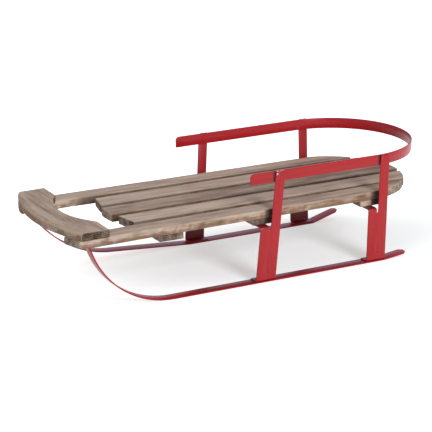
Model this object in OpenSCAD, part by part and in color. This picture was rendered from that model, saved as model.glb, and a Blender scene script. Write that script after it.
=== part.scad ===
// Flat wooden sled: plank deck with a curved front board, flat steel runners,
// slit and folded steel legs, and a steel handrail bent round the back.
// Millimetres. +X is forward, +Y is the rider's left, +Z is up, and z = 0 is the snow.

/* [Deck boards] */
// Thickness of each outer rail
rail_t = 20; // [12:0.5:30]
// Thickness of each inner slat
slat_t = 20; // [10:0.5:30]
// Width of each outer rail
rail_w = 50; // [35:1:80]
// Width of each inner slat
slat_w = 58; // [40:1:80]
// Gap between neighbouring boards at mid length
board_gap = 16.5; // [5:0.5:25]
// Angle by which each rail turns in towards the back, in degrees
rail_toe = 0.6; // [0.2:0.1:1]
// Front tip of the middle slat, on the centre line
slat_front_x = 307; // [280:1:350]
// Distance of the side slats' front arc behind the middle slat's
slat_setback = 6; // [0:0.5:30]
// Radius of the arcs that the slats' front ends follow
slat_front_r = 400; // [150:5:800]
// Rear tip of the deck, on the centre line
deck_rear_x = -466; // [-475:1:-430]

/* [Front board] */
// Thickness of the front board
bow_t = 19; // [12:0.5:30]
// Overhang of the front board past each rail's side
bow_overhang = 6; // [0:0.5:20]
// Front tip of the front board, on the centre line
bow_x = 484; // [450:1:520]
// Radius of the front edge, which the rails' front ends share
bow_r = 470; // [300:1:900]
// Depth of the front board from front tip to the chord of its hand hole
bow_depth = 103; // [85:1:125]
// Length of the straight back edge beside each end of the hand hole
bow_ear = 66; // [40:1:90]
// Rise of the curved hand hole into the front board
notch_rise = 39; // [15:1:55]

/* [Crossbeams] */
// Width of each crossbeam
beam_w = 60; // [40:1:90]
// Thickness of each crossbeam
beam_t = 16; // [10:0.5:30]
// Height of the crossbeams' undersides above the snow
beam_z = 135; // [90:1:180]
// Distance of a crossbeam's ends inside the deck's sides
beam_inset = 5; // [0:0.5:20]
// Middle of the front crossbeam, which has no legs
beam_front_x = 225; // [180:1:260]
// Distance from a leg's middle forward to the middle of its crossbeam
beam_ahead = 6; // [-6:0.5:12]

/* [Flat bar] */
// Thickness of the steel flat bar
bar_t = 3; // [2:0.25:5]
// Inner radius of the tight bends
bend_r = 3; // [2:0.25:6]

/* [Runners] */
// Width of each runner
runner_w = 29; // [20:1:50]
// Width over the two runners
track_w = 356; // [320:1:400]
// Length of the left sole ahead of the front leg
sole_len_left = 209; // [185:1:225]
// Length of the right sole ahead of the front leg
sole_len_right = 215; // [185:1:225]
// Rise of the left sole ahead of the front leg, in degrees
sole_rise_left = 0; // [0:0.1:6]
// Rise of the right sole ahead of the front leg, in degrees
sole_rise_right = 4.2; // [0:0.1:6]
// Radius of the left runner's curve, on its outer face
curve_r_left = 214; // [180:1:260]
// Radius of the right runner's curve, on its outer face
curve_r_right = 245; // [180:1:260]
// Length of the tab under the rail
tab_len = 30; // [15:1:60]
// Width of the tab under the rail
tab_w = 16; // [10:1:22]
// Length of the left tail behind the rear leg
tail_len_left = 64; // [20:1:90]
// Length of the right tail behind the rear leg
tail_len_right = 78; // [20:1:90]
// Rise of the left tail, in degrees
tail_rise_left = 7; // [0:0.5:25]
// Rise of the right tail, in degrees
tail_rise_right = 16; // [0:0.5:25]
// Corner cut of the tails
tail_cut = 9; // [2:0.5:12]

/* [Legs] */
// Width of the leg plate
leg_w = 51; // [44:1:70]
// Width of the strip that runs on up as the post
post_w = 24; // [18:1:30]
// Distance of the posts' tops below the handrail's top
post_drop = 3; // [0:0.5:8]
// Width of the slit between post and flange
slit_w = 4; // [1:0.25:6]
// Depth of the slit below the crossbeam
slit_depth = 12; // [8:0.5:20]
// Length of the flange under the crossbeam
flange_len = 42; // [25:1:70]
// Length of the foot on the runner
foot_len = 27; // [15:1:40]
// Distance of the feet's outer sides outside the deck's sides
leg_clear = 8; // [5:0.5:16]
// Outward lean of the legs, in degrees
splay = 2.5; // [0.5:0.25:6]
// Middle of the front legs on the runner
leg_front_x = -10; // [-40:1:30]
// Middle of the rear legs on the runner
leg_rear_x = -308; // [-330:1:-270]
// Backward lean of the front legs, in degrees
leg_front_lean = 4; // [0:0.25:8]
// Backward lean of the rear legs, in degrees
leg_rear_lean = 0; // [0:0.25:4]

/* [Handrail] */
// Height of the handrail's top above the snow
hand_z = 265; // [230:1:330]
// Height of the handrail strip
hand_h = 26; // [18:1:40]
// Front ends of the handrail's arms
hand_front_x = 35; // [0:1:80]
// Rear of the handrail
hand_rear_x = -484; // [-540:1:-460]
// Radius of the arms' upper front corners
hand_corner_r = 9; // [2:0.5:12]

/* [Hidden] */
$fn = 96;
wood = "#9d8b7d";
red = "#c4202c";
// Longer than any board or bar, for cutting shapes
reach = 2 * max(bow_x, -hand_rear_x) + track_w;

deck_z = beam_z + beam_t;
rail_top = deck_z + rail_t;
slat_pitch = slat_w + board_gap;
rail_in = 1.5 * slat_w + 2 * board_gap;
rail_out = rail_in + rail_w;

// Front board: its straight back edge, half length and hand hole
bow_back_x = bow_x - bow_depth;
bow_half = rail_y(rail_out, bow_back_x) + bow_overhang;
notch_half = bow_half - bow_ear;
notch_r = (notch_half * notch_half + notch_rise * notch_rise) / (2 * notch_rise);

// Centre of the deck's round rear edge, whose radius is half the deck's width
rear_x = deck_rear_x + rail_out;

// Runner: the bends ahead of the front leg and behind the rear leg
sole_x = leg_front_x + leg_w / 2;
tail_x = leg_rear_x - leg_w / 2;

// Leg: outer radius of its folds, and centre of the foot's fold, which stands clear of the deck
bend_out = bend_r + bar_t;
foot_y = rail_out + leg_clear - bend_out;
foot_z = bar_t + bend_out;

// Handrail: centre of its rear bend
hand_y = web_y(hand_z) - bar_t / cos(splay);
hand_arc_x = hand_rear_x + hand_y;

// Distance of a rail's edge from the centre line at a given x
function rail_y(edge, x) = edge / cos(rail_toe) + x * tan(rail_toe);

// Distance of a leg's outer face from the centre line at a given height
function web_y(z) = foot_y + (z - foot_z) * tan(splay) + bend_out / cos(splay);

// Front of a runner's curve where it meets the rail
function nose_x(sole_len, rise, r) = sole_x + sole_len * cos(rise) - r * sin(rise)
    + sqrt(pow(r, 2) - pow(sole_len * sin(rise) + r * cos(rise) - deck_z, 2));

// Shift of a leaning leg at a given height
function lean_x(lean, z) = -z * tan(lean);

// An upright slab of a flat X-Z outline, across the whole sled
module across_sled() {
    rotate([90, 0, 0])
        linear_extrude(reach, center = true)
            children();
}

// A bar of a flat Y-Z section, along X from one end to the other
module along_sled(x_from, x_to) {
    translate([x_from, 0, 0])
        rotate([90, 0, 90])
            linear_extrude(x_to - x_from)
                children();
}

// Plan of everything behind the front board's front edge
module front_plan() {
    translate([bow_x - bow_r, 0])
        circle(r = bow_r, $fn = 240);
    translate([-reach, -reach / 2])
        square([reach + bow_x - bow_r, reach]);
}

// Plan of everything in front of the deck's rear edge
module rear_plan() {
    translate([rear_x, 0])
        circle(r = rail_out, $fn = 240);
    translate([rear_x, -reach / 2])
        square([reach, reach]);
}

// Plan of everything behind a slat's front arc
module slat_front_plan(x) {
    translate([x - slat_front_r, 0])
        circle(r = slat_front_r, $fn = 240);
    translate([-reach, -reach / 2])
        square([reach + x - slat_front_r, reach]);
}

// An outer rail, cut to the front board's arc and to the deck's rear edge
module rail() {
    color(wood)
        translate([0, 0, deck_z])
            linear_extrude(rail_t)
                intersection() {
                    rotate(rail_toe)
                        translate([-reach / 2, rail_in])
                            square([reach, rail_w]);
                    front_plan();
                    rear_plan();
                }
}

// An inner slat at a distance from the centre line, with a given front tip
module slat(y, front_x) {
    color(wood)
        translate([0, 0, deck_z])
            linear_extrude(slat_t)
                intersection() {
                    translate([-reach / 2, y - slat_w / 2])
                        square([reach, slat_w]);
                    slat_front_plan(front_x);
                    rear_plan();
                }
}

// The left slat, whose front end lies behind the middle one's
module side_slat() {
    slat(slat_pitch, slat_front_x - slat_setback);
}

// The curved board across the rails' front ends, with its hand hole
module front_board() {
    color(wood)
        translate([0, 0, rail_top])
            linear_extrude(bow_t)
                difference() {
                    intersection() {
                        translate([bow_back_x, -bow_half])
                            square([bow_depth, 2 * bow_half]);
                        front_plan();
                    }
                    translate([bow_back_x + notch_rise - notch_r, 0])
                        circle(r = notch_r, $fn = 180);
                }
}

// A board across the undersides of rails and slats
module beam(x) {
    half = rail_y(rail_out, x) - beam_inset;
    color(wood)
        translate([x - beam_w / 2, -half, beam_z])
            cube([beam_w, 2 * half, beam_t]);
}

// Middle of a leg's crossbeam
function leg_beam_x(x, lean) = x + lean_x(lean, beam_z) + beam_ahead;

// Side outline of a runner: tail and flat sole, then the rising sole and the curve up to the rail
module runner_outline(tail_len, tail_rise, sole_len, sole_rise, curve_r) {
    tail_dir = [-cos(tail_rise), sin(tail_rise)];
    tail_up = [sin(tail_rise), cos(tail_rise)];
    tail_start = [tail_x, 0];
    polygon([
        tail_start,
        [sole_x, 0],
        [sole_x, bar_t],
        [tail_x + bar_t * tan(tail_rise / 2), bar_t],
        tail_start + tail_len * tail_dir + bar_t * tail_up,
        tail_start + tail_len * tail_dir
    ]);
    translate([sole_x, 0])
        rotate(sole_rise) {
            square([sole_len, bar_t]);
            intersection() {
                translate([sole_len, curve_r])
                    difference() {
                        circle(r = curve_r, $fn = 240);
                        circle(r = curve_r - bar_t, $fn = 240);
                    }
                translate([sole_len, 0])
                    square(curve_r);
            }
        }
}

// A left runner, cut off under the rail, with the corners of its tail cut and a tab to fix it by
module runner(tail_len, tail_rise, sole_len, sole_rise, curve_r) {
    out = track_w / 2;
    tail_end = tail_x - tail_len * cos(tail_rise);
    tab_x = nose_x(sole_len, sole_rise, curve_r) - bar_t - tab_len;
    color(red) {
        intersection() {
            across_sled()
                runner_outline(tail_len, tail_rise, sole_len, sole_rise, curve_r);
            linear_extrude(deck_z)
                polygon([
                    [tail_end, out - runner_w + tail_cut],
                    [tail_end + tail_cut, out - runner_w],
                    [reach, out - runner_w],
                    [reach, out],
                    [tail_end + tail_cut, out],
                    [tail_end, out - tail_cut]
                ]);
        }
        translate([tab_x, out - runner_w, deck_z - bar_t])
            cube([tab_len, tab_w, bar_t]);
    }
}

// The left runner, flat on the snow up to its curve
module runner_left() {
    runner(tail_len_left, tail_rise_left, sole_len_left, sole_rise_left, curve_r_left);
}

// The right runner, bent up ahead of the front leg
module runner_right() {
    right_side()
        runner(tail_len_right, tail_rise_right, sole_len_right, sole_rise_right, curve_r_right);
}

// Section of flat bar folded inwards at the top of an upright web, round the fold's centre
module fold_section(web_len, flap_len, flap_turn) {
    difference() {
        union() {
            circle(r = bend_out);
            translate([0, -web_len])
                square([bend_out, web_len]);
            rotate(flap_turn)
                translate([-flap_len, 0])
                    square([flap_len, bend_out]);
        }
        circle(r = bend_r);
        translate([-flap_len, -2 * web_len])
            square([flap_len + bend_r, 2 * web_len]);
        rotate(flap_turn)
            translate([-2 * flap_len, -bend_r])
                square([2 * flap_len, 2 * bend_r]);
    }
}

// A left leg: foot, slit plate, flange under the crossbeam, and post.
// It is drawn with its web upright and its foot's fold at the origin, then splayed.
module leg(x, lean) {
    back = -leg_w / 2;
    slit_x = back + post_w;
    fold_top = (beam_z - bend_out - foot_z) / cos(splay);
    slit_top = fold_top + bend_out - slit_depth;
    post_top = (hand_z - post_drop - foot_z) / cos(splay) + bend_r * tan(splay);
    color(red)
        translate([x, foot_y, foot_z])
            rotate([-splay, 0, 0])
                intersection() {
                    union() {
                        difference() {
                            along_sled(-reach / 2, reach / 2)
                                mirror([0, 1])
                                    fold_section(post_top, foot_len - bend_out, -splay);
                            across_sled()
                                leaning_strip(slit_x, slit_x + leg_w, lean, slit_top, hand_z);
                        }
                        intersection() {
                            translate([0, 0, fold_top])
                                along_sled(-reach / 2, reach / 2)
                                    fold_section(2 * slit_depth, flange_len - bend_out, splay);
                            across_sled()
                                leaning_strip(slit_x + slit_w, slit_x + leg_w, lean, 0, beam_z);
                        }
                    }
                    across_sled()
                        leaning_strip(back, back + leg_w, lean, -foot_len, hand_z);
                }
}

// A strip between two edges that lean backwards with height
module leaning_strip(x_back, x_front, lean, bottom, top) {
    polygon([
        [x_back + lean_x(lean, bottom), bottom],
        [x_front + lean_x(lean, bottom), bottom],
        [x_front + lean_x(lean, top), top],
        [x_back + lean_x(lean, top), top]
    ]);
}

// Section of the handrail, leaning with the posts that it lies against
module hand_section() {
    low = hand_z - hand_h;
    wall = bar_t / cos(splay);
    polygon([
        [web_y(hand_z) - wall, hand_z],
        [web_y(low) - wall, low],
        [web_y(low) - 2 * wall, low],
        [web_y(hand_z) - 2 * wall, hand_z]
    ]);
}

// The handrail: two arms and the bend round the back of the deck
module handrail() {
    color(red)
        difference() {
            union() {
                along_sled(hand_arc_x, hand_front_x)
                    hand_section();
                mirror([0, 1, 0])
                    along_sled(hand_arc_x, hand_front_x)
                        hand_section();
                translate([hand_arc_x, 0, 0])
                    rotate([0, 0, 90])
                        rotate_extrude(angle = 180, $fn = 180)
                            hand_section();
            }
            across_sled()
                translate([hand_front_x - hand_corner_r, hand_z - hand_corner_r])
                    difference() {
                        square(2 * hand_corner_r);
                        circle(r = hand_corner_r);
                    }
        }
}

// The right side is the left one mirrored
module right_side() {
    mirror([0, 1, 0])
        children();
}

rail();  // rail_left
right_side() rail();  // rail_right
side_slat();  // slat_left
slat(0, slat_front_x);  // slat_middle
right_side() side_slat();  // slat_right
front_board();
beam(beam_front_x);  // beam_front
beam(leg_beam_x(leg_front_x, leg_front_lean));  // beam_middle
beam(leg_beam_x(leg_rear_x, leg_rear_lean));  // beam_rear
runner_left();
runner_right();
leg(leg_front_x, leg_front_lean);  // leg_front_left
right_side() leg(leg_front_x, leg_front_lean);  // leg_front_right
leg(leg_rear_x, leg_rear_lean);  // leg_rear_left
right_side() leg(leg_rear_x, leg_rear_lean);  // leg_rear_right
handrail();
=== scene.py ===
"""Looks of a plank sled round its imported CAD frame: weathered boards, red flat bar and small fastenings."""

import math

import bmesh
import bpy
from mathutils import Matrix, Vector, noise


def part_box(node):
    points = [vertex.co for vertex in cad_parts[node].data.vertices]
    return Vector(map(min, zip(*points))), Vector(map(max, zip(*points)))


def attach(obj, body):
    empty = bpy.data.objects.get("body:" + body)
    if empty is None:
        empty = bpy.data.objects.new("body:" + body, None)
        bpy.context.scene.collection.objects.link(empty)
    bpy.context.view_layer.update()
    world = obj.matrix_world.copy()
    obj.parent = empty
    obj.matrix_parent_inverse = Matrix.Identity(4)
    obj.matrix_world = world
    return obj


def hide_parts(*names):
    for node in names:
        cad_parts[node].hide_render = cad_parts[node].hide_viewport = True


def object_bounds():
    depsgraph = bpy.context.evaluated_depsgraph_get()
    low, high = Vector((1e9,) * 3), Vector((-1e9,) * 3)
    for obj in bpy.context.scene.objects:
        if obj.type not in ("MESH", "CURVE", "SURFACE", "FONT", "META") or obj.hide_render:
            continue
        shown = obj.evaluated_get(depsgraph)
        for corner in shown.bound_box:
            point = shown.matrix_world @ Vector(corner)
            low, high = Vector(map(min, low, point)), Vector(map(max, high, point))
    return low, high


bl_info = {
    "name": "Plank Sled",
    "version": (1, 0, 0),
    "blender": (4, 5, 0),
    "location": "3D View > Sidebar > Sled",
    "description": "Dresses a plank sled with worn boards, painted flat bar and fastenings",
    "category": "Object",
}

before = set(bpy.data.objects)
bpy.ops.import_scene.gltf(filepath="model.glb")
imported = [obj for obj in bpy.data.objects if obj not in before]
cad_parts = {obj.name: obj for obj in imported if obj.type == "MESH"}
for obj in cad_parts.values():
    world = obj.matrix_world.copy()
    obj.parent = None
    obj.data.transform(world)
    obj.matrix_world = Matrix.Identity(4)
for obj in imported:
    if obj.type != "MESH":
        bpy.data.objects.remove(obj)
CAD_LOW, CAD_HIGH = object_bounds()

MM = 0.001
BODY = "root"

# Points closer than this are one
MERGE = 0.01 * MM
# Faces that turn less than this are one flat face, and more than this meet in an edge
FLAT = math.radians(0.5)
SHARP = math.radians(30)
# A face counts as turned to a side when its normal is this close to it
TURNED = 0.75
# A cut that crosses the grain at least this steeply shows end grain, the second of a board's materials
CROSSED = 0.4
END_GRAIN = 1
# Steps across a broad and a fine round
BROAD_STEPS = 4
FINE_STEPS = 2
# A leg's corners below this height belong to its foot
FOOT_TOP = 10 * MM
# The vector noise moves with its seed, so each step that uses it starts from this one
NOISE_SEED = 7
# Noise moves by this many times a board's middle, so that no two boards stray or chip alike
STRAY_SHIFT = 7
CHIP_SHIFT = 11
# Noise above this chips an edge
CHIP_START = 0.15
# Patterns are drawn out along the grain or the brush stroke, by one over the first number
STREAK_DRAWN = (0.03, 1, 1)
STAIN_DRAWN = (0.14, 1, 1)
TUFT_DRAWN = (0.22, 1, 1)
STROKE_DRAWN = (0.06, 1, 1)
ENAMEL = "brushed red enamel on steel"

# Each board: the axis its grain follows, its pith's place beside it and above it in mm,
# how pale it is, and how pale its ends are
BOARDS = {
    "rail_left": ("X", 14, -46, 0.02, 0.14),
    "rail_right": ("X", -22, -58, 0.08, 0.0),
    "slat_left": ("X", -9, -38, 0.18, 0.05),
    "slat_middle": ("X", 27, -52, -0.12, 0.2),
    "slat_right": ("X", 5, -64, 0.14, 0.05),
    "front_board": ("Y", -18, -49, 0.0, -0.17),
    "beam_front": ("Y", 21, -26, 0.08, -0.06),
    "beam_middle": ("Y", -24, 30, 0.16, -0.04),
    "beam_rear": ("Y", 16, -33, 0.4, 0.42),
}
SLATS = ("slat_left", "slat_middle", "slat_right")
RAILS = ("rail_left", "rail_right")
RUNNERS = ("runner_left", "runner_right")
# Each leg: how bare of paint its weld and its tack weld are, where the pale bare steel partly stands in for
# glints as painted highlight
LEGS = {
    "leg_front_left": (1.3, 1.4),
    "leg_front_right": (0.8, 0.8),
    "leg_rear_left": (0.8, 0.8),
    "leg_rear_right": (1.9, 0.8),
}
# Posts stand alike on both sides, so the left ones give their places
LEFT_LEGS = ("leg_front_left", "leg_rear_left")
BARS = (*RUNNERS, *LEGS, "handrail")


def linear(code):
    """Turns an sRGB hex colour into linear RGBA."""
    channels = [int(code[i : i + 2], 16) / 255 for i in (0, 2, 4)]
    return (*(c / 12.92 if c <= 0.04045 else ((c + 0.055) / 1.055) ** 2.4 for c in channels), 1.0)


def colour(name, description, code):
    """Declares a colour that a user can change."""
    return bpy.props.FloatVectorProperty(
        name=name, description=description, subtype="COLOR", size=4, min=0, max=1, default=linear(code)
    )


def length(name, description, mm):
    """Declares a length that a user can change, with its default in mm."""
    return bpy.props.FloatProperty(
        name=name, description=description, subtype="DISTANCE", unit="LENGTH", default=mm * MM
    )


def point(name, description, default):
    """Declares a place that a user can change, in metres."""
    return bpy.props.FloatVectorProperty(
        name=name, description=description, subtype="TRANSLATION", unit="LENGTH", default=default
    )


def angle(name, description, radians):
    """Declares an angle that a user can change."""
    return bpy.props.FloatProperty(
        name=name, description=description, subtype="ANGLE", unit="ROTATION", default=radians
    )


def number(name, description, default):
    """Declares a plain number that a user can change."""
    return bpy.props.FloatProperty(name=name, description=description, default=default)


class SledWood(bpy.types.PropertyGroup):
    """Sizes and colours of the boards."""

    edge_round: length("Edge round", "Radius worn on a board's edges", 2.6)
    nose_round: length("Nose round", "Radius worn on the front board's upper front edge", 5.0)
    nose_wear: number("Nose wear", "How bare that edge is, where other edges have 1", 1.8)
    toe_round: length("Toe round", "Radius worn on the rails' lower front edges", 8.0)
    cut_step: length("Cut step", "Distance between the cross cuts that let a board wander", 7.0)
    wander: length("Wander", "How far a hand-sawn edge strays from straight", 1.1)
    wander_rise: number("Wander rise", "Share of the wander that goes up and down", 0.4)
    wander_run: length("Wander run", "Length of board over which an edge strays and comes back", 90.0)
    chip: length("Chip", "Depth of the chips along the edges", 3.2)
    chip_run: length("Chip run", "Length of a chip along an edge", 14.0)
    ring: length("Growth ring", "Width of one growth ring", 4.6)
    streak: length("Streak", "Width of a grain streak, drawn coarse so that it shows", 8.0)
    fuzz: length("Fuzz", "Width of a raised tuft of rough fibres", 5.0)
    blotch: length("Blotch", "Width of a patch of deeper stain", 20.0)
    tear: length("Tear", "Width of a torn spot on the end grain, drawn coarse so that it shows", 13.0)
    # Painted shade of the handrail and posts, darkening the seat's back half
    seat_shade: number("Seat dark", "How much darker the seat's back end is", 0.2)
    # The gap, post and spill settings paint shade into the boards' colour: the sides in the gaps, the posts'
    # shadow beside them, and ragged spots along the gaps
    gap_shade: number("Gap dirt", "How dirty the boards' sides are in the gaps", 0.85)
    gap_depth: length("Gap depth", "Depth below the slats' tops at which a gap is darkest", 2.0)
    gap_fade: length("Gap fade", "Distance over which that grime thins out ahead of the slats", 35.0)
    post_shadow: number("Post dirt", "How dirty a board's side is beside a post", 1.2)
    post_shadow_reach: length("Post stain", "How far ahead of a post that stain reaches", 6.0)
    post_fade: length("Post fade", "Distance over which that stain thins out", 5.0)
    spill_shade: number("Spill dirt", "How dirty the spots on a board's long edges are", 0.7)
    spill_run: length("Spill run", "Length of such a spot", 22.0)
    spill_width: length("Spill width", "Width of such a spot", 20.0)
    stain_dark: colour("Dark stain", "Stain in the open grain of a board's top", "927a6b")
    stain: colour("Stain", "Stain on a board's top", "c0a794")
    stain_pale: colour("Pale stain", "Stain rubbed thin on a board's top", "dbc5b4")
    side: colour("Side", "Barer wood on a board's sides", "7f5228")
    worn: colour("Worn edge", "Bare wood on the rubbed edges", "d0b698")
    # Colour of the painted shade in the gaps, beside the posts and along the edges
    painted_shade: colour("Grime", "Dirt in the gaps between boards", "44342a")
    end_dark: colour("Dark end", "Stain soaked into the end grain", "45362a")
    end: colour("End", "End grain between the rings", "837061")
    end_pale: colour("Pale end", "Torn fibres on the end grain", "ccbcaa")


class SledSteel(bpy.types.PropertyGroup):
    """Sizes and colours of the flat bar."""

    edge_round: length("Edge round", "Radius of the flat bar's rolled edges", 0.6)
    cut_step: length("Cut step", "Distance between the cross cuts along a runner", 15.0)
    streak: length("Streak", "Width of a brush streak in the paint", 6.0)
    speckle: length("Speckle", "Width of a worn spot in the paint", 3.0)
    paint: colour("Paint", "Red paint", "b9161f")
    paint_deep: colour("Deep paint", "Red paint where it lies thick", "a80f18")
    # Painted shade under the deck, laid on the runners' tops, the feet and the legs' insides
    deck_shade: colour("Soil", "Dirt left by wet snow on the paint", "520d14")
    runner_shade: number("Runner soil", "How dirty the runners are", 0.6)
    leg_shade: number("Leg soil", "How dirty the legs' insides and feet are", 1.0)
    deck_shade_ahead: length("Soil ahead", "How far ahead of the legs the dirt reaches", 140.0)
    deck_shade_fade: length("Soil fade", "Distance over which the dirt thins out at its front", 40.0)
    deck_shade_behind: length("Soil behind", "How far behind the legs the dirt thins out", 15.0)
    # Painted contact shadow on the handrail just ahead of each post
    joint_shadow: number("Joint dirt", "How dark the line is where the handrail meets a post", 1.5)
    joint_w: length("Joint", "Width of that line", 7.0)
    joint_full: length("Full joint", "Width of its dark part, ahead of which it thins out", 4.2)
    sole_h: length("Sole height", "Height above the snow up to which the runners are rubbed bare", 3.0)
    # Also the pale bare steel on the welds, which partly stands in for their glints as painted highlight
    bare_and_glint: colour("Bare steel", "Steel on the rubbed soles and edges", "b0a5a1")


class SledFastenings(bpy.types.PropertyGroup):
    """Sizes of the dimples, welds and screws, and colours of the screws."""

    dimple_d: length("Dimple", "Diameter of the dimple near a leg's foot", 7.0)
    dimple_depth: length("Dimple depth", "Depth of that dimple", 1.4)
    dimple_z: length("Dimple height", "Height of that dimple above the snow", 22.0)
    weld_r: length("Weld", "Radius of the weld on top of a post", 3.0)
    weld_step: length("Weld step", "Distance between the ripples of a weld", 3.4)
    weld_vary: number("Weld vary", "How much the ripples differ in size", 0.25)
    weld_turn: angle("Weld turn", "How far the ripples turn about", 0.5)
    tack_r: length("Tack", "Radius of the tack weld near a post's upper front corner", 3.2)
    tack_drop: length("Tack drop", "Distance of that tack below the post's top", 4.8)
    screw_d: length("Screw head", "Diameter of a screw's head", 8.0)
    screw_h: length("Screw height", "Height of a screw's head", 2.4)
    cloud: length("Cloud", "Width of a cloud in the zinc", 4.0)
    zinc_dull: colour("Dull zinc", "Clouds in the zinc", "8c8f92")
    zinc: colour("Zinc", "Zinc between the clouds", "b4b6b8")


class SledStage(bpy.types.PropertyGroup):
    """Camera, light and floor of the studio."""

    eye: point("Eye", "Place of the camera", (1.96415, 3.63287, 1.41390))
    target: point("Target", "Point in the middle of the picture", (0.06966, 0.08481, 0.14571))
    roll: angle("Roll", "Turn of the camera about its view", math.radians(-0.3))
    lens: bpy.props.FloatProperty(
        name="Lens", description="Focal length", subtype="DISTANCE_CAMERA", unit="CAMERA", default=153.37
    )
    dome: number("Dome", "Strength of the light from all round", 0.38)
    key: bpy.props.FloatProperty(
        name="Key", description="Power of the large soft lamp", subtype="POWER", unit="POWER", default=255.0
    )
    key_place: point("Key place", "Place of the large soft lamp", (-0.5, 6.2, 3.5))
    key_size: length("Key size", "Side of the large soft lamp", 2100.0)
    floor_size: length("Floor", "Side of the floor", 24000.0)
    floor: colour("Floor", "Pale studio floor", "eaeef1")
    sky: colour("Sky", "What the eye and glossy things see round the floor", "dce4ff")
    floor_glow: number("Floor glow", "White that the floor's shaded part adds towards the eye", 0.43)
    shade_back: number("Shade back", "How far behind the middle it lies, in the sled's half lengths", 0.4)
    shade_start: number("Shade start", "Where the shade starts to fade, in the sled's half sizes", 0.6)
    shade_end: number("Shade end", "Where the shade has faded to white, in the sled's half sizes", 1.9)


def add_node(tree, kind, inputs=None, stops=None, **settings):
    """Adds a node with its settings, its colour stops, and its inputs as values or links."""
    node = tree.nodes.new(kind)
    for name, value in settings.items():
        setattr(node, name, value)
    for key, value in (inputs or {}).items():
        if isinstance(value, bpy.types.NodeSocket):
            tree.links.new(value, node.inputs[key])
        else:
            node.inputs[key].default_value = value
    if stops:
        elements = node.color_ramp.elements
        while len(elements) < len(stops):
            elements.new(1.0)
        for element, (place, tint) in zip(elements, stops):
            element.position = place
            element.color = tint
    return node


def new_material(name):
    """Makes an empty node material and gives its tree and surface input."""
    material = bpy.data.materials.new(name)
    material.use_nodes = True
    material.node_tree.nodes.clear()
    output = add_node(material.node_tree, "ShaderNodeOutputMaterial")
    return material, material.node_tree, output.inputs["Surface"]


def ring_scale(width):
    """Gives the wave texture's scale for rings of a width: scale s has a ring every 2 pi / (20 s)."""
    return math.pi / 10 / width


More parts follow.
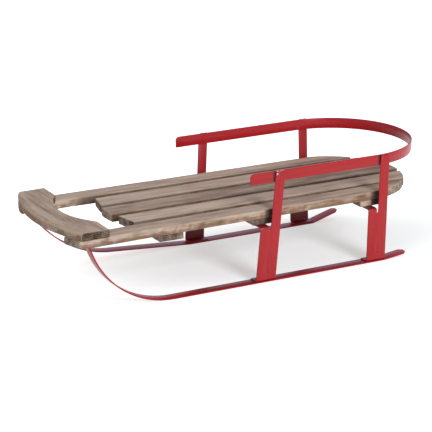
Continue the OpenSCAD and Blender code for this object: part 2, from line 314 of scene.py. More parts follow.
def weathered_pine(props):
    """Stained softwood planks, planed and left outdoors.

    They look dull and grey-brown, with streaks along the grain, barer tan sides and rubbed edges.
    """
    material, tree, surface = new_material("weathered stained pine")
    grain = add_node(tree, "ShaderNodeAttribute", attribute_name="grain").outputs["Vector"]
    drawn_out = add_node(
        tree, "ShaderNodeVectorMath", {0: grain, 1: STREAK_DRAWN}, operation="MULTIPLY"
    ).outputs[0]
    streaks = add_node(
        tree,
        "ShaderNodeTexNoise",
        {"Vector": drawn_out, "Scale": 1 / props.streak, "Detail": 4, "Roughness": 0.62},
    ).outputs["Fac"]
    patches = add_node(
        tree, "ShaderNodeVectorMath", {0: grain, 1: STAIN_DRAWN}, operation="MULTIPLY"
    ).outputs[0]
    blotches = add_node(
        tree,
        "ShaderNodeTexNoise",
        {"Vector": patches, "Scale": 1 / props.blotch, "Detail": 3, "Roughness": 0.55},
    ).outputs["Fac"]
    rings = add_node(
        tree,
        "ShaderNodeTexWave",
        {
            "Vector": drawn_out,
            "Scale": ring_scale(props.ring),
            "Distortion": 5.0,
            "Detail": 2.0,
            "Detail Scale": 0.35,
        },
        wave_type="RINGS",
        rings_direction="X",
        wave_profile="SAW",
    ).outputs["Fac"]
    tufts = add_node(
        tree, "ShaderNodeVectorMath", {0: grain, 1: TUFT_DRAWN}, operation="MULTIPLY"
    ).outputs[0]
    fuzz = add_node(
        tree,
        "ShaderNodeTexNoise",
        {"Vector": tufts, "Scale": 1 / props.fuzz, "Detail": 5, "Roughness": 0.7},
    ).outputs["Fac"]
    # Each layer adds its share to the board's own tone
    figure = add_node(tree, "ShaderNodeAttribute", attribute_name="tone").outputs["Fac"]
    for layer, share in ((streaks, 0.5), (fuzz, 0.5), (blotches, 1.3), (rings, 0.05)):
        figure = add_node(
            tree, "ShaderNodeMath", {0: layer, 1: share, 2: figure}, operation="MULTIPLY_ADD"
        ).outputs[0]
    figure = add_node(
        tree, "ShaderNodeMapRange", {"Value": figure, "From Min": 0.76, "From Max": 1.56}
    ).outputs[0]
    top = add_node(
        tree,
        "ShaderNodeValToRGB",
        {"Fac": figure},
        stops=[(0.12, props.stain_dark), (0.5, props.stain), (0.9, props.stain_pale)],
    ).outputs["Color"]
    # The stain is barer where a face turns away from above, in patches and tufts
    normal = add_node(tree, "ShaderNodeNewGeometry").outputs["Normal"]
    upward = add_node(tree, "ShaderNodeSeparateXYZ", {0: normal}).outputs["Z"]
    barer = add_node(
        tree, "ShaderNodeMath", {0: blotches, 1: 0.7, 2: upward}, operation="MULTIPLY_ADD"
    ).outputs[0]
    barer = add_node(
        tree, "ShaderNodeMath", {0: fuzz, 1: 0.8, 2: barer}, operation="MULTIPLY_ADD"
    ).outputs[0]
    barer = add_node(
        tree,
        "ShaderNodeMapRange",
        {"Value": barer, "From Min": 0.62, "From Max": 0.9, "To Min": 0.95, "To Max": 0.0},
    ).outputs[0]
    bare_side = add_node(
        tree, "ShaderNodeMix", {0: 0.3, 6: props.side, 7: top}, data_type="RGBA"
    ).outputs[2]
    stained = add_node(tree, "ShaderNodeMix", {0: barer, 6: top, 7: bare_side}, data_type="RGBA").outputs[2]
    worn = add_node(tree, "ShaderNodeAttribute", attribute_name="wear_and_glint").outputs["Fac"]
    worn = add_node(tree, "ShaderNodeMath", {0: worn, 1: fuzz}, operation="MULTIPLY").outputs[0]
    stained = add_node(
        tree, "ShaderNodeMix", {0: worn, 6: stained, 7: props.worn}, data_type="RGBA"
    ).outputs[2]
    # Painted shade in the gaps, beside the posts and along the edges; full painted shade still lets a little
    # of the wood show
    shade = add_node(tree, "ShaderNodeAttribute", attribute_name="painted_shade").outputs["Fac"]
    shade = add_node(tree, "ShaderNodeMath", {0: shade, 1: 0.85}, operation="MULTIPLY").outputs[0]
    stained = add_node(
        tree, "ShaderNodeMix", {0: shade, 6: stained, 7: props.painted_shade}, data_type="RGBA"
    ).outputs[2]
    roughness = add_node(
        tree, "ShaderNodeMapRange", {"Value": streaks, "To Min": 0.85, "To Max": 0.6}
    ).outputs[0]
    bump = add_node(
        tree, "ShaderNodeBump", {"Strength": 0.4, "Distance": 0.8 * MM, "Height": fuzz}
    ).outputs[0]
    shader = add_node(
        tree,
        "ShaderNodeBsdfPrincipled",
        {"Base Color": stained, "Roughness": roughness, "Normal": bump, "Specular IOR Level": 0.3},
    )
    tree.links.new(shader.outputs[0], surface)
    return material


def torn_end_grain(props):
    """Sawn softwood ends that drank the stain: dark rings with pale torn fibres, quite matt."""
    material, tree, surface = new_material("sawn pine end grain")
    grain = add_node(tree, "ShaderNodeAttribute", attribute_name="grain").outputs["Vector"]
    rings = add_node(
        tree,
        "ShaderNodeTexWave",
        {
            "Vector": grain,
            "Scale": ring_scale(props.ring),
            "Distortion": 1.5,
            "Detail": 1.0,
            "Detail Scale": 0.5,
        },
        wave_type="RINGS",
        rings_direction="X",
        wave_profile="SIN",
    ).outputs["Fac"]
    fibres = add_node(
        tree,
        "ShaderNodeTexNoise",
        {"Vector": grain, "Scale": 1 / props.tear, "Detail": 3, "Roughness": 0.6},
    ).outputs["Fac"]
    tone = add_node(tree, "ShaderNodeAttribute", attribute_name="tone").outputs["Fac"]
    mottle = add_node(
        tree, "ShaderNodeMath", {0: rings, 1: 0.16, 2: fibres}, operation="MULTIPLY_ADD"
    ).outputs[0]
    mottle = add_node(
        tree, "ShaderNodeMath", {0: tone, 1: 0.9, 2: mottle}, operation="MULTIPLY_ADD"
    ).outputs[0]
    depth = add_node(
        tree, "ShaderNodeMapRange", {"Value": mottle, "From Min": 0.13, "From Max": 1.06}
    ).outputs[0]
    tint = add_node(
        tree,
        "ShaderNodeValToRGB",
        {"Fac": depth},
        stops=[(0.2, props.end_dark), (0.5, props.end), (0.85, props.end_pale)],
    ).outputs["Color"]
    # Painted shade: the posts' shadow on the beams' ends
    shade = add_node(tree, "ShaderNodeAttribute", attribute_name="painted_shade").outputs["Fac"]
    tint = add_node(tree, "ShaderNodeMix", {0: shade, 6: tint, 7: props.painted_shade}, data_type="RGBA").outputs[2]
    bump = add_node(
        tree, "ShaderNodeBump", {"Strength": 0.5, "Distance": 1.0 * MM, "Height": mottle}
    ).outputs[0]
    shader = add_node(
        tree,
        "ShaderNodeBsdfPrincipled",
        {"Base Color": tint, "Normal": bump, "Roughness": 0.88, "Specular IOR Level": 0.25},
    )
    tree.links.new(shader.outputs[0], surface)
    return material


def brushed_enamel(props):
    """Red enamel brushed on rolled steel bar.

    It looks semi-gloss with faint streaks, and is rubbed off the soles and some edges.
    """
    material, tree, surface = new_material(ENAMEL)
    place = add_node(tree, "ShaderNodeTexCoord").outputs["Object"]
    grain = add_node(tree, "ShaderNodeAttribute", attribute_name="grain").outputs["Vector"]
    drawn_out = add_node(
        tree, "ShaderNodeVectorMath", {0: grain, 1: STROKE_DRAWN}, operation="MULTIPLY"
    ).outputs[0]
    streaks = add_node(
        tree,
        "ShaderNodeTexNoise",
        {"Vector": drawn_out, "Scale": 1 / props.streak, "Detail": 3, "Roughness": 0.55},
    ).outputs["Fac"]
    paint = add_node(
        tree,
        "ShaderNodeValToRGB",
        {"Fac": streaks},
        stops=[(0.32, props.paint_deep), (0.62, props.paint)],
    ).outputs["Color"]
    speckles = add_node(
        tree,
        "ShaderNodeTexNoise",
        {"Vector": place, "Scale": 1 / props.speckle, "Detail": 5, "Roughness": 0.7},
    ).outputs["Fac"]
    normal = add_node(tree, "ShaderNodeNewGeometry").outputs["Normal"]
    downward = add_node(tree, "ShaderNodeSeparateXYZ", {0: normal}).outputs["Z"]
    height = add_node(tree, "ShaderNodeSeparateXYZ", {0: place}).outputs["Z"]
    low = add_node(
        tree,
        "ShaderNodeMapRange",
        {"Value": height, "From Min": props.sole_h, "From Max": props.sole_h / 3},
    ).outputs[0]
    sole = add_node(
        tree, "ShaderNodeMapRange", {"Value": downward, "From Min": -0.5, "From Max": -0.95}
    ).outputs[0]
    sole = add_node(tree, "ShaderNodeMath", {0: sole, 1: low}, operation="MULTIPLY").outputs[0]
    # Wear on the edges and soles, and on the welds pale bare steel that partly stands in for their glints as
    # painted highlight
    edge = add_node(tree, "ShaderNodeAttribute", attribute_name="wear_and_glint").outputs["Fac"]
    rubbed_and_glint = add_node(
        tree, "ShaderNodeMath", {0: edge, 1: 0.3, 2: sole}, operation="MULTIPLY_ADD"
    ).outputs[0]
    rubbed_and_glint = add_node(tree, "ShaderNodeMath", {0: rubbed_and_glint, 1: speckles}, operation="ADD").outputs[0]
    rubbed_and_glint = add_node(
        tree, "ShaderNodeMapRange", {"Value": rubbed_and_glint, "From Min": 0.82, "From Max": 0.95}
    ).outputs[0]
    # Painted shade under the deck and painted contact shadow where the handrail meets a post
    shade = add_node(tree, "ShaderNodeAttribute", attribute_name="painted_shade").outputs["Fac"]
    shade = add_node(tree, "ShaderNodeMath", {0: shade, 1: 0.65}, operation="MULTIPLY").outputs[0]
    paint = add_node(tree, "ShaderNodeMix", {0: shade, 6: paint, 7: props.deck_shade}, data_type="RGBA").outputs[2]
    tint = add_node(
        tree, "ShaderNodeMix", {0: rubbed_and_glint, 6: paint, 7: props.bare_and_glint}, data_type="RGBA"
    ).outputs[2]
    roughness = add_node(
        tree, "ShaderNodeMapRange", {"Value": streaks, "To Min": 0.28, "To Max": 0.4}
    ).outputs[0]
    bump = add_node(
        tree, "ShaderNodeBump", {"Strength": 0.08, "Distance": 0.4 * MM, "Height": streaks}
    ).outputs[0]
    shader = add_node(
        tree,
        "ShaderNodeBsdfPrincipled",
        {
            "Base Color": tint,
            "Metallic": rubbed_and_glint,
            "Roughness": roughness,
            "Normal": bump,
            "Specular IOR Level": 0.4,
        },
    )
    tree.links.new(shader.outputs[0], surface)
    return material


def zinc_screw(props):
    """Zinc-plated steel screw heads: dull blue-grey metal with a cloudy sheen."""
    material, tree, surface = new_material("zinc-plated steel")
    place = add_node(tree, "ShaderNodeTexCoord").outputs["Object"]
    cloud = add_node(
        tree, "ShaderNodeTexNoise", {"Vector": place, "Scale": 1 / props.cloud, "Detail": 3}
    ).outputs["Fac"]
    tint = add_node(
        tree, "ShaderNodeValToRGB", {"Fac": cloud}, stops=[(0.3, props.zinc_dull), (0.7, props.zinc)]
    ).outputs["Color"]
    roughness = add_node(
        tree, "ShaderNodeMapRange", {"Value": cloud, "To Min": 0.3, "To Max": 0.5}
    ).outputs[0]
    shader = add_node(
        tree, "ShaderNodeBsdfPrincipled", {"Base Color": tint, "Roughness": roughness, "Metallic": 1.0}
    )
    tree.links.new(shader.outputs[0], surface)
    return material


def box(node):
    """Gives the low and high corners of a CAD node's box."""
    low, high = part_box(node)
    return Vector(low), Vector(high)


def cad_bmesh(node):
    """Gives a CAD node's mesh as one closed bmesh with flat faces."""
    bm = bmesh.new()
    bm.from_mesh(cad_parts[node].data)
    bmesh.ops.remove_doubles(bm, verts=bm.verts, dist=MERGE)
    bmesh.ops.dissolve_limit(bm, angle_limit=FLAT, verts=bm.verts, edges=bm.edges)
    return bm


def post_span(leg, z):
    """Gives the back and front of a leg's post at a height."""
    corners = [vert.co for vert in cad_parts[leg].data.vertices]
    top = max(co.z for co in corners)
    crown = [co.x for co in corners if co.z > top - MM]
    heel = min(co.x for co in corners if co.z < FOOT_TOP)
    back = heel + (min(crown) - heel) * z / top
    return back, back + max(crown) - min(crown)


def round_edges(bm, chosen, radius, segments, worn=1.0):
    """Rounds the sharp edges of a bmesh that a test chooses, and marks the rounds' middles as worn."""
    wear_and_glint = bm.verts.layers.float.get("wear_and_glint") or bm.verts.layers.float.new("wear_and_glint")
    whole = [edge for edge in bm.edges if edge.is_manifold]
    sharp = [edge for edge in whole if edge.calc_face_angle() > SHARP and chosen(edge)]
    rounds = bmesh.ops.bevel(
        bm,
        geom=sharp,
        offset=radius,
        offset_type="OFFSET",
        segments=segments,
        profile=0.5,
        affect="EDGES",
        clamp_overlap=True,
        material=-1,
    )
    faces = set(rounds["faces"])
    for vert in rounds["verts"]:
        if faces.issuperset(vert.link_faces):
            vert[wear_and_glint] = worn


def cut_at(bm, axis, place):
    """Cuts a bmesh through at one place along an axis."""
    direction = Vector((axis == "X", axis == "Y", axis == "Z"))
    geom = bm.verts[:] + bm.edges[:] + bm.faces[:]
    bmesh.ops.bisect_plane(bm, geom=geom, dist=MERGE, plane_co=direction * place, plane_no=direction)


def cut_across(bm, axis, low, high, step):
    """Cuts a bmesh across an axis at even steps, so that it can bend and chip."""
    count = max(1, round((high - low) / step))
    for i in range(1, count):
        cut_at(bm, axis, low + (high - low) * i / count)


def finish_piece(name, bm, materials):
    """Turns a bmesh into a piece of the sled that rides on it."""
    mesh = bpy.data.meshes.new(name)
    bm.to_mesh(mesh)
    bm.free()
    mesh.shade_smooth()
    mesh.set_sharp_from_angle(angle=SHARP)
    piece = bpy.data.objects.new(name, mesh)
    bpy.context.scene.collection.objects.link(piece)
    for material in materials:
        mesh.materials.append(material)
    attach(piece, BODY)
    return piece


class SLED_OT_boards(bpy.types.Operator):
    """Makes the rails, slats, front board and crossbeams as worn boards"""

    bl_idname = "sled.boards"
    bl_label = "Boards"

    def execute(self, context):
        props = context.scene.sled_wood
        materials = [weathered_pine(props), torn_end_grain(props)]
        noise.seed_set(NOISE_SEED)
        for node, (axis, pith_side, pith_depth, tone, end_tone) in BOARDS.items():
            low, high = box(node)
            middle = (low + high) / 2
            bm = cad_bmesh(node)
            ends = Vector((axis == "X", axis == "Y", 0))
            for face in bm.faces:
                face.material_index = END_GRAIN if abs(face.normal.dot(ends)) > CROSSED else 0
            if node == "front_board":
                round_edges(bm, self.is_nose, props.nose_round, BROAD_STEPS, props.nose_wear)
            if node in RAILS:
                round_edges(bm, self.is_toe, props.toe_round, BROAD_STEPS)
            round_edges(bm, bool, props.edge_round, FINE_STEPS)
            for cut in "XY":
                i = "XYZ".index(cut)
                cut_across(bm, cut, low[i], high[i], props.cut_step)
            self.shade_sides(bm, props, node, middle)
            if node in (*SLATS, *RAILS):
                self.ragged_gap_shade(bm, props, low, high)
            self.wear_down(bm, props, middle)
            pith = Vector((pith_side, pith_side, pith_depth)) * MM
            self.lay_grain(bm, props, axis, middle + pith, tone, end_tone)
            piece = finish_piece(node + "_board", bm, materials)
            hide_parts(node)
        return {"FINISHED"}

    def is_nose(self, edge):
        """Tells the front board's upper front edge from the rest."""
        normals = [face.normal for face in edge.link_faces]
        return max(n.z for n in normals) > TURNED and max(n.x for n in normals) > TURNED

    def is_toe(self, edge):
        """Tells a rail's lower front edge from the rest."""
        normals = [face.normal for face in edge.link_faces]
        return min(n.z for n in normals) < -TURNED and max(n.x for n in normals) > TURNED

    def shade_sides(self, bm, props, node, middle):
        """Paints shade on the sides in the gaps, darker below the slats' tops, and paints the posts' shadow
        on the sides beside them.
        """
        painted_shade = bm.verts.layers.float.new("painted_shade")
        top = box(SLATS[0])[1].z
        slat_front = box("slat_middle")[1].x
        posts = [post_span(leg, middle.z) for leg in LEFT_LEGS]
        for face in bm.faces:
            if abs(face.normal.y) < TURNED:
                continue
            inward = node in SLATS or node in RAILS and face.normal.y * middle.y < 0
            for vert in face.verts:
                x = vert.co.x
                if inward:
                    depth = (top - vert.co.z) / props.gap_depth
                    shade = props.gap_shade * min(1, depth) - max(0, (x - slat_front) / props.gap_fade)
                else:
                    beyond = min(max(back - x, x - front - props.post_shadow_reach) for back, front in posts)
                    shade = props.post_shadow - max(0, beyond / props.post_fade)
                vert[painted_shade] = max(vert[painted_shade], shade, 0)

    def ragged_gap_shade(self, bm, props, low, high):
        """Paints spots of shade along a board's long edges here and there, so that the shade in the gaps runs
        ragged.
        """
        painted_shade = bm.verts.layers.float["painted_shade"]
        # The rounds and a little of the top beside them
        reach = 1.5 * props.edge_round
        spot = Vector((props.spill_run, props.spill_width, props.spill_width))
        for vert in bm.verts:
            if min(vert.co.y - low.y, high.y - vert.co.y) < reach:
                place = Vector([along / size for along, size in zip(vert.co, spot)])
                vert[painted_shade] = max(vert[painted_shade], props.spill_shade * noise.noise(place))

    def wear_down(self, bm, props, middle):
        """Lets a board's edges stray a little, and chips them here and there."""
        wear_and_glint = bm.verts.layers.float["wear_and_glint"]
        moves = []
        for vert in bm.verts:
            stray = noise.noise_vector(vert.co / props.wander_run + middle * STRAY_SHIFT)
            move = props.wander * Vector((stray.x, stray.y, props.wander_rise * stray.z))
            chip = noise.noise(vert.co / props.chip_run + middle * CHIP_SHIFT)
            if vert[wear_and_glint] and chip > CHIP_START:
                move -= props.chip * (chip - CHIP_START) * vert.normal
            moves.append(move)
        for vert, move in zip(bm.verts, moves):
            vert.co += move
        bm.normal_update()

    def lay_grain(self, bm, props, axis, pith, tone, end_tone):
        """Gives each vertex its place from the pith, and its tone, darker towards the seat's back by painted
        shade of the handrail and posts.
        """
        along = "XYZ".index(axis)
        rear = CAD_LOW[0]
        grain = bm.verts.layers.float_vector.new("grain")
        pale = bm.verts.layers.float.new("tone")
        for vert in bm.verts:
            away = vert.co - pith
            vert[grain] = (away[along] + pith.z, away[1 - along], away.z)
            vert[pale] = tone - props.seat_shade * min(1, max(0, vert.co.x / rear))
        for face in bm.faces:
            if face.material_index == END_GRAIN:
                for vert in face.verts:
                    vert[pale] = end_tone


class SLED_OT_flat_bar(bpy.types.Operator):
    """Makes the runners, legs and handrail as painted flat bar with rolled edges"""

    bl_idname = "sled.flat_bar"
    bl_label = "Flat Bar"

    def execute(self, context):
        props = context.scene.sled_steel
        enamel = brushed_enamel(props)
        for node in BARS:
            bm = cad_bmesh(node)
            round_edges(bm, bool, props.edge_round, FINE_STEPS)
            if node in LEGS:
                self.press_dimple(bm, context, node)
            if node in RUNNERS:
                low, high = box(node)
                cut_across(bm, "X", low.x, high.x, props.cut_step)
            self.lay_strokes(bm, node)
            self.deck_shade(bm, props, node)
            piece = finish_piece(node + "_bar", bm, [enamel])
            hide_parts(node)
        return {"FINISHED"}

    def press_dimple(self, bm, context, node):
        """Presses a shallow round dimple into the outside of a leg, above its foot."""
        props = context.scene.sled_fastenings
        side = math.copysign(1, box(node)[0].y)
        outside = [face for face in bm.faces if face.normal.y * side > TURNED]
        web = max(outside, key=lambda face: face.calc_area())
        foot = [vert.co.x for vert in web.verts if vert.co.z < props.dimple_z]
        place = Vector(((min(foot) + max(foot)) / 2, 0, props.dimple_z))
        place.y = web.verts[0].co.y - (place.z - web.verts[0].co.z) * web.normal.z / web.normal.y
        rim = props.dimple_d / 2
        ball = (rim**2 + props.dimple_depth**2) / (2 * props.dimple_depth)
        centre = place + web.normal * (ball - props.dimple_depth)
        cutter = bmesh.new()
        turn = web.normal.to_track_quat("Z", "Y").to_matrix().to_4x4()
        bmesh.ops.create_uvsphere(
            cutter, u_segments=48, v_segments=48, radius=ball, matrix=Matrix.Translation(centre) @ turn
        )
        meshes = [bpy.data.meshes.new("blank"), bpy.data.meshes.new("punch")]
        objects = [bpy.data.objects.new(mesh.name, mesh) for mesh in meshes]
        for source, mesh, item in zip((bm, cutter), meshes, objects):
            source.to_mesh(mesh)
            context.scene.collection.objects.link(item)
        cutter.free()
        press = objects[0].modifiers.new("press", "BOOLEAN")
        press.operation = "DIFFERENCE"
        press.solver = "EXACT"
        press.object = objects[1]
        pressed = objects[0].evaluated_get(context.evaluated_depsgraph_get()).to_mesh()
        bm.clear()
        bm.from_mesh(pressed)
        for item, mesh in zip(objects, meshes):
            bpy.data.objects.remove(item)
            bpy.data.meshes.remove(mesh)

    def lay_strokes(self, bm, node):
        """Gives each vertex its place along and across the bar, which the brush followed."""
        grain = bm.verts.layers.float_vector.new("grain")
        low, high = box(node)
        radius = (high.y - low.y) / 2
        bend_x = low.x + radius
        for vert in bm.verts:
            co = vert.co
            if node in LEGS:
                vert[grain] = (co.z, co.x, co.y)
            elif node == "handrail" and co.x < bend_x:
                turn = math.atan2(bend_x - co.x, abs(co.y))
                vert[grain] = (bend_x - radius * turn, radius, co.z)
            else:
                vert[grain] = (co.x, abs(co.y), co.z)

    def deck_shade(self, bm, props, node):
        """Paints the shade under the deck on the runners' tops near the legs, on the feet, and on the legs'
        insides.
        """
        painted_shade = bm.verts.layers.float.new("painted_shade")
        if node == "handrail":
            self.shade_joints(bm, props, painted_shade)
            return
        rear = box("leg_rear_left")[0].x
        front = box("leg_front_left")[1].x
        deck = box(RAILS[0])[0].z
        side = math.copysign(1, box(node)[0].y)
        most = props.runner_shade if node in RUNNERS else props.leg_shade
        for face in bm.faces:
            inside = node in LEGS and face.normal.y * side < -TURNED
            if face.normal.z < TURNED and not inside:
                continue
            for vert in face.verts:
                ahead = (vert.co.x - front - props.deck_shade_ahead) / props.deck_shade_fade
                behind = (rear - vert.co.x) / props.deck_shade_behind
                vert[painted_shade] = most * max(0, 1 - max(ahead, behind, 0)) if vert.co.z < deck else 0.0

    def shade_joints(self, bm, props, painted_shade):
        """Paints the contact shadow on the handrail's outside just ahead of each post."""
        low, high = box("handrail")
        for leg in LEFT_LEGS:
            front = post_span(leg, (low.z + high.z) / 2)[1]
            edges = (front - MM, front, front + props.joint_full, front + props.joint_w)
            for x in edges:
                cut_at(bm, "X", x)
            for vert in bm.verts:
                outside = vert.normal.y * vert.co.y > 0
                if outside and edges[0] + MERGE < vert.co.x < edges[-1] - MERGE:
                    vert[painted_shade] = props.joint_shadow


class SLED_OT_welds(bpy.types.Operator):
    """Lays a rippled weld on top of each post, where it holds the handrail"""

    bl_idname = "sled.welds"
    bl_label = "Welds"

    # A ripple of weld is a low ball, a tenth smaller than the weld on the average, and a tack is a flat one
    RIPPLE = Matrix.Diagonal((0.9, 1, 0.8, 1))
    RIPPLE_SIZE = 0.9
    TACK = Matrix.Diagonal((1, 0.5, 1, 1))

    def execute(self, context):
        enamel = bpy.data.materials.get(ENAMEL)
        if enamel is None:
            raise RuntimeError("the flat bar has to be painted first")
        props = context.scene.sled_fastenings
        noise.seed_set(NOISE_SEED)
        crest = box("handrail")[1].z
        bm = bmesh.new()
        wear_and_glint = bm.verts.layers.float.new("wear_and_glint")
        grain = bm.verts.layers.float_vector.new("grain")
        for node, (weld_bare_glint, tack_bare_glint) in LEGS.items():
            top = box(node)[1].z
            start, end = post_span(node, top)
            across = [vert.co.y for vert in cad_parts[node].data.vertices if vert.co.z > top - MM]
            inner, outer = (pick(across, key=abs) for pick in (min, max))
            count = round((end - start) / props.weld_step)
            for i in range(1, count):
                place = Vector((start + (end - start) * i / count, inner, (top + crest) / 2))
                stray = noise.noise_vector(place / props.weld_step)
                radius = props.weld_r * (self.RIPPLE_SIZE + props.weld_vary * stray.z)
                turn = Matrix.Rotation(props.weld_turn * stray.x, 4, "Z")
                self.bead(bm, place, radius, turn @ self.RIPPLE, wear_and_glint, weld_bare_glint)
            # The tack weld's pale bare steel stands in for a glint near the post's upper front corner, a
            # painted highlight
            tack = Vector((end - props.tack_r, outer, top - props.tack_drop))
            self.bead(bm, tack, props.tack_r, self.TACK, wear_and_glint, tack_bare_glint)
        for vert in bm.verts:
            vert[grain] = vert.co
        finish_piece("post_welds", bm, [enamel])
        return {"FINISHED"}

    def bead(self, bm, place, radius, squash, wear_and_glint, bare_and_glint):
        """Adds one bead of weld, more or less bare of paint."""
        ball = bmesh.ops.create_icosphere(
            bm, subdivisions=3, radius=radius, matrix=Matrix.Translation(place) @ squash
        )
        for vert in ball["verts"]:
            vert[wear_and_glint] = bare_and_glint


class SLED_OT_screws(bpy.types.Operator):
    """Sets the screws that hold boards, legs and runners from below"""

    bl_idname = "sled.screws"
    bl_label = "Screws"

    # Screws stand by turns ahead of and behind a crossbeam's middle, by this share of its width
    STAGGER = 0.2
    # Places of the front board's screws, as shares of its depth and of a rail's width from inside
    BOW_SHARES = (0.25, 0.6)
    RAIL_SHARE = 0.42
    # Places of a flange's screws from its middle, as shares of its reach
    FLANGE_SHARES = (-0.25, 0.25)
    # A flap faces down at least this squarely, and lies this close under the wood that it holds
    FLAP_DOWN = 0.99
    FLAP_SLACK = 5 * MM
    # Half section of a pan head with a round recess, as shares of its radius and height
    HEAD = ((0, 0.5), (0.3, 0.55), (0.38, 1), (0.7, 0.92), (0.95, 0.6), (1, 0.2), (1, 0))

    def execute(self, context):
        props = context.scene.sled_fastenings
        bm = bmesh.new()
        for place in (*self.board_places(), *self.bar_places()):
            self.screw_head(bm, props, place)
        bmesh.ops.recalc_face_normals(bm, faces=bm.faces)
        finish_piece("screws", bm, [zinc_screw(props)])
        return {"FINISHED"}

    def board_places(self):
        """Finds the screws through the crossbeams and up into the front board."""
        places = []
        for beam in ("beam_front", "beam_middle", "beam_rear"):
            low, high = box(beam)
            middle = (low + high) / 2
            held = (*SLATS, *RAILS) if beam == "beam_front" else SLATS
            for i, board in enumerate(held):
                board_low, board_high = box(board)
                shift = (high.x - low.x) * (self.STAGGER if i % 2 else -self.STAGGER)
                places.append(Vector((middle.x + shift, (board_low.y + board_high.y) / 2, low.z)))
        low, high = box("front_board")
        for rail in RAILS:
            rail_low, rail_high = box(rail)
            inner = min((rail_low.y, rail_high.y), key=abs)
            outer = max((rail_low.y, rail_high.y), key=abs)
            for share in self.BOW_SHARES:
                x = low.x + share * (high.x - low.x)
                places.append(Vector((x, inner + self.RAIL_SHARE * (outer - inner), rail_low.z)))
        return places

    def bar_places(self):
        """Finds the screws in the legs' flanges and in the runners' tabs."""
        places = []
        beam_z = box("beam_front")[0].z
        deck_z = box(RAILS[0])[0].z
        for node in (*LEGS, *RUNNERS):
            seat = beam_z if node in LEGS else deck_z
            bm = cad_bmesh(node)
            down = [face for face in bm.faces if face.normal.z < -self.FLAP_DOWN]
            flaps = [face for face in down if abs(face.calc_center_bounds().z - seat) < self.FLAP_SLACK]
            flap = max(flaps, key=lambda face: face.calc_area())
            centre = flap.calc_center_bounds()
            if node in LEGS:
                across = [vert.co.y for vert in flap.verts]
                reach = max(across) - min(across)
                for share in self.FLANGE_SHARES:
                    places.append(centre + Vector((0, share * reach, 0)))
            else:
                places.append(centre)
            bm.free()
        return places

    def screw_head(self, bm, props, place):
        """Spins one pan head with a round recess, head down."""
        radius = props.screw_d / 2
        verts = [bm.verts.new(place + Vector((x * radius, 0, -z * props.screw_h))) for x, z in self.HEAD]
        edges = [bm.edges.new(pair) for pair in zip(verts, verts[1:])]
        bmesh.ops.spin(
            bm,
            geom=verts + edges,
            cent=place,
            axis=(0, 0, 1),
            dvec=(0, 0, 0),
            angle=2 * math.pi,
            steps=24,
            use_merge=True,
        )
        bmesh.ops.remove_doubles(bm, verts=bm.verts, dist=MERGE)


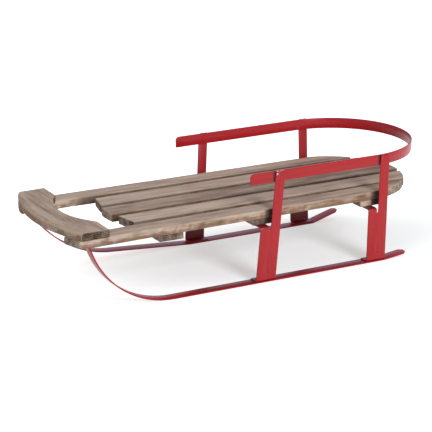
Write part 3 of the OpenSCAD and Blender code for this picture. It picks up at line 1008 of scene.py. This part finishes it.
class SLED_OT_stage(bpy.types.Operator):
    """Makes the pale floor, the soft light and the camera"""

    bl_idname = "sled.stage"
    bl_label = "Stage"

    def execute(self, context):
        props = context.scene.sled_stage
        self.floor(props)
        self.world(context, props)
        self.lamp(context, props)
        self.camera(context, props)
        context.scene.view_settings.view_transform = "Standard"
        return {"FINISHED"}

    def floor(self, props):
        """A white studio floor that keeps the sled's shadow and fades to pure white all round it."""
        material, tree, surface = new_material("matt white studio floor")
        matt = add_node(tree, "ShaderNodeBsdfDiffuse", {"Color": props.floor}).outputs[0]
        seen = self.seen_directly(tree)
        place = add_node(tree, "ShaderNodeTexCoord").outputs["Object"]
        half = (Vector(CAD_HIGH) - Vector(CAD_LOW)) / 2
        behind = (props.shade_back * half.x, 0, 0)
        stretch = (1 / half.x, 1 / half.y, 1)
        away = add_node(tree, "ShaderNodeVectorMath", {0: place, 1: behind}, operation="ADD").outputs[0]
        away = add_node(
            tree, "ShaderNodeVectorMath", {0: away, 1: stretch}, operation="MULTIPLY"
        ).outputs[0]
        away = add_node(tree, "ShaderNodeVectorMath", {0: away}, operation="LENGTH").outputs["Value"]
        white = add_node(
            tree,
            "ShaderNodeMapRange",
            {
                "Value": away,
                "From Min": props.shade_start,
                "From Max": props.shade_end,
                "To Min": props.floor_glow,
                "To Max": 1.0,
            },
            interpolation_type="SMOOTHSTEP",
        ).outputs[0]
        glow = add_node(tree, "ShaderNodeMath", {0: seen, 1: white}, operation="MULTIPLY").outputs[0]
        light = add_node(tree, "ShaderNodeEmission", {"Strength": glow}).outputs[0]
        both = add_node(tree, "ShaderNodeAddShader", {0: matt, 1: light}).outputs[0]
        tree.links.new(both, surface)
        bm = bmesh.new()
        bmesh.ops.create_grid(bm, x_segments=1, y_segments=1, size=props.floor_size / 2)
        mesh = bpy.data.meshes.new("floor")
        bm.to_mesh(mesh)
        bm.free()
        mesh.materials.append(material)
        floor = bpy.data.objects.new("floor", mesh)
        bpy.context.scene.collection.objects.link(floor)

    def seen_directly(self, tree):
        """Is 1 for the rays that the eye, a gloss or a glass sends, and 0 for those that light things."""
        path = add_node(tree, "ShaderNodeLightPath").outputs
        seen = path["Is Camera Ray"]
        for ray in ("Is Glossy Ray", "Is Transmission Ray"):
            seen = add_node(tree, "ShaderNodeMath", {0: seen, 1: path[ray]}, operation="MAXIMUM").outputs[0]
        return seen

    def world(self, context, props):
        """A white room that lights evenly from all round, dimmer than it looks."""
        world = bpy.data.worlds.new("white room")
        world.use_nodes = True
        tree = world.node_tree
        tree.nodes.clear()
        seen = self.seen_directly(tree)
        strength = add_node(
            tree, "ShaderNodeMapRange", {"Value": seen, "To Min": props.dome, "To Max": 1.0}
        ).outputs[0]
        tint = add_node(
            tree, "ShaderNodeMix", {0: seen, 6: (1, 1, 1, 1), 7: props.sky}, data_type="RGBA"
        ).outputs[2]
        sky = add_node(tree, "ShaderNodeBackground", {"Color": tint, "Strength": strength}).outputs[0]
        add_node(tree, "ShaderNodeOutputWorld", {"Surface": sky})
        context.scene.world = world

    def lamp(self, context, props):
        """One large soft lamp above the near side."""
        data = bpy.data.lights.new("key", "AREA")
        data.energy = props.key
        data.size = props.key_size
        lamp = bpy.data.objects.new("key", data)
        place = Vector(props.key_place)
        lamp.location = place
        lamp.rotation_euler = (Vector(props.target) - place).to_track_quat("-Z", "Y").to_euler()
        context.scene.collection.objects.link(lamp)

    def camera(self, context, props):
        """The photograph's own viewpoint."""
        data = bpy.data.cameras.new("camera")
        data.sensor_fit = "HORIZONTAL"
        data.sensor_width = 36.0
        data.lens = props.lens
        data.clip_end = 100.0
        camera = bpy.data.objects.new("camera", data)
        eye = Vector(props.eye)
        turn = (Vector(props.target) - eye).to_track_quat("-Z", "Y").to_matrix()
        turn = turn @ Matrix.Rotation(props.roll, 3, "Z")
        camera.matrix_world = Matrix.Translation(eye) @ turn.to_4x4()
        context.scene.collection.objects.link(camera)
        context.scene.camera = camera


class SLED_PT_panel(bpy.types.Panel):
    """Sizes, colours and steps of the sled"""

    bl_idname = "SLED_PT_panel"
    bl_label = "Plank Sled"
    bl_space_type = "VIEW_3D"
    bl_region_type = "UI"
    bl_category = "Sled"

    def draw(self, context):
        for group_name in GROUPS:
            group = getattr(context.scene, group_name)
            frame = self.layout.box()
            for name in group.__annotations__:
                frame.prop(group, name)
        for operator in OPERATORS:
            self.layout.operator(operator.bl_idname)


GROUPS = {
    "sled_wood": SledWood,
    "sled_steel": SledSteel,
    "sled_fastenings": SledFastenings,
    "sled_stage": SledStage,
}
OPERATORS = (SLED_OT_boards, SLED_OT_flat_bar, SLED_OT_welds, SLED_OT_screws, SLED_OT_stage)


def register():
    """Registers the groups, steps and panel, and hangs the groups on the scene."""
    for cls in (*GROUPS.values(), *OPERATORS, SLED_PT_panel):
        bpy.utils.register_class(cls)
    for name, cls in GROUPS.items():
        setattr(bpy.types.Scene, name, bpy.props.PointerProperty(type=cls))


def unregister():
    """Takes the groups off the scene and unregisters the classes."""
    for name in GROUPS:
        delattr(bpy.types.Scene, name)
    for cls in (SLED_PT_panel, *OPERATORS, *GROUPS.values()):
        bpy.utils.unregister_class(cls)


def main():
    """Builds the sled and its stage."""
    register()
    bpy.ops.sled.boards()
    bpy.ops.sled.flat_bar()
    bpy.ops.sled.welds()
    bpy.ops.sled.screws()
    bpy.ops.sled.stage()


if __name__ == "__main__":
    main()
